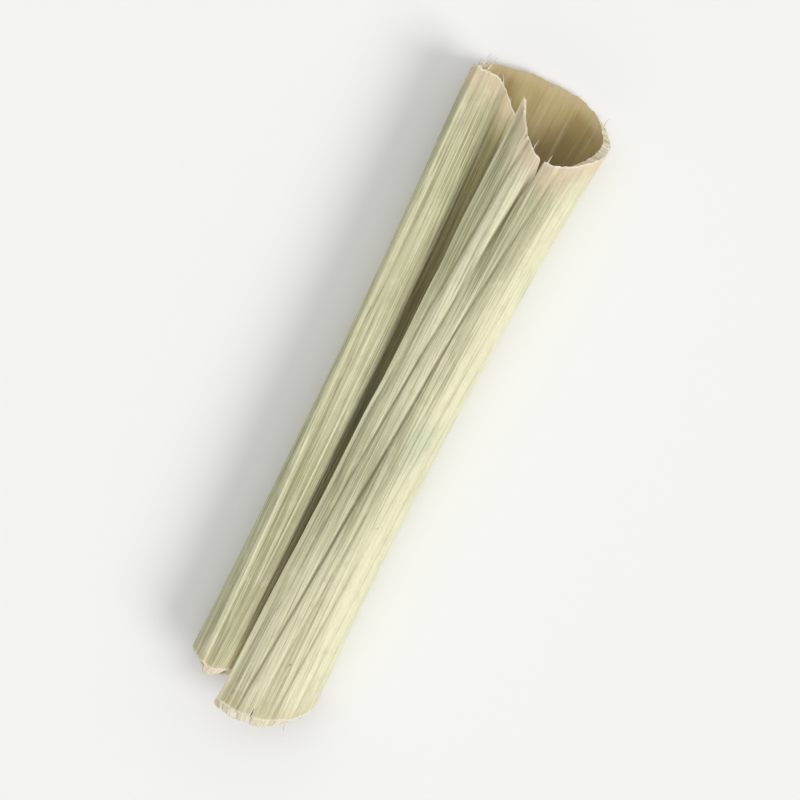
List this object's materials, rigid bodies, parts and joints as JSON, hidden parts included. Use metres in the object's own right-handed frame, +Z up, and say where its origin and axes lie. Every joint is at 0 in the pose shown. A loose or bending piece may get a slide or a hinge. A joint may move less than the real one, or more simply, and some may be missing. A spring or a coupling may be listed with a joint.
{
  "type": "lemongrass stalk",
  "caption": "Cut length of dried lemongrass: a ribbed leaf sheath rolled lengthwise into a hollow two-lobed tube, open at both slanted ends, lying on its flattened underside.",
  "frame": {"origin": "centre of the bounding box's bottom face, on the surface that the stalk lies on", "axes": "+X along the stalk, towards its open mouth; +Y towards the narrow lobe; +Z up"},
  "size_m": [0.021, 0.005, 0.0027],
  "materials": {
    "dried_sheath": "dry, matte to faintly satin, finely ribbed along the grain"
  },
  "bodies": {
    "root": {"rolled_sheath": "dried_sheath"}
  },
  "joints": []
}
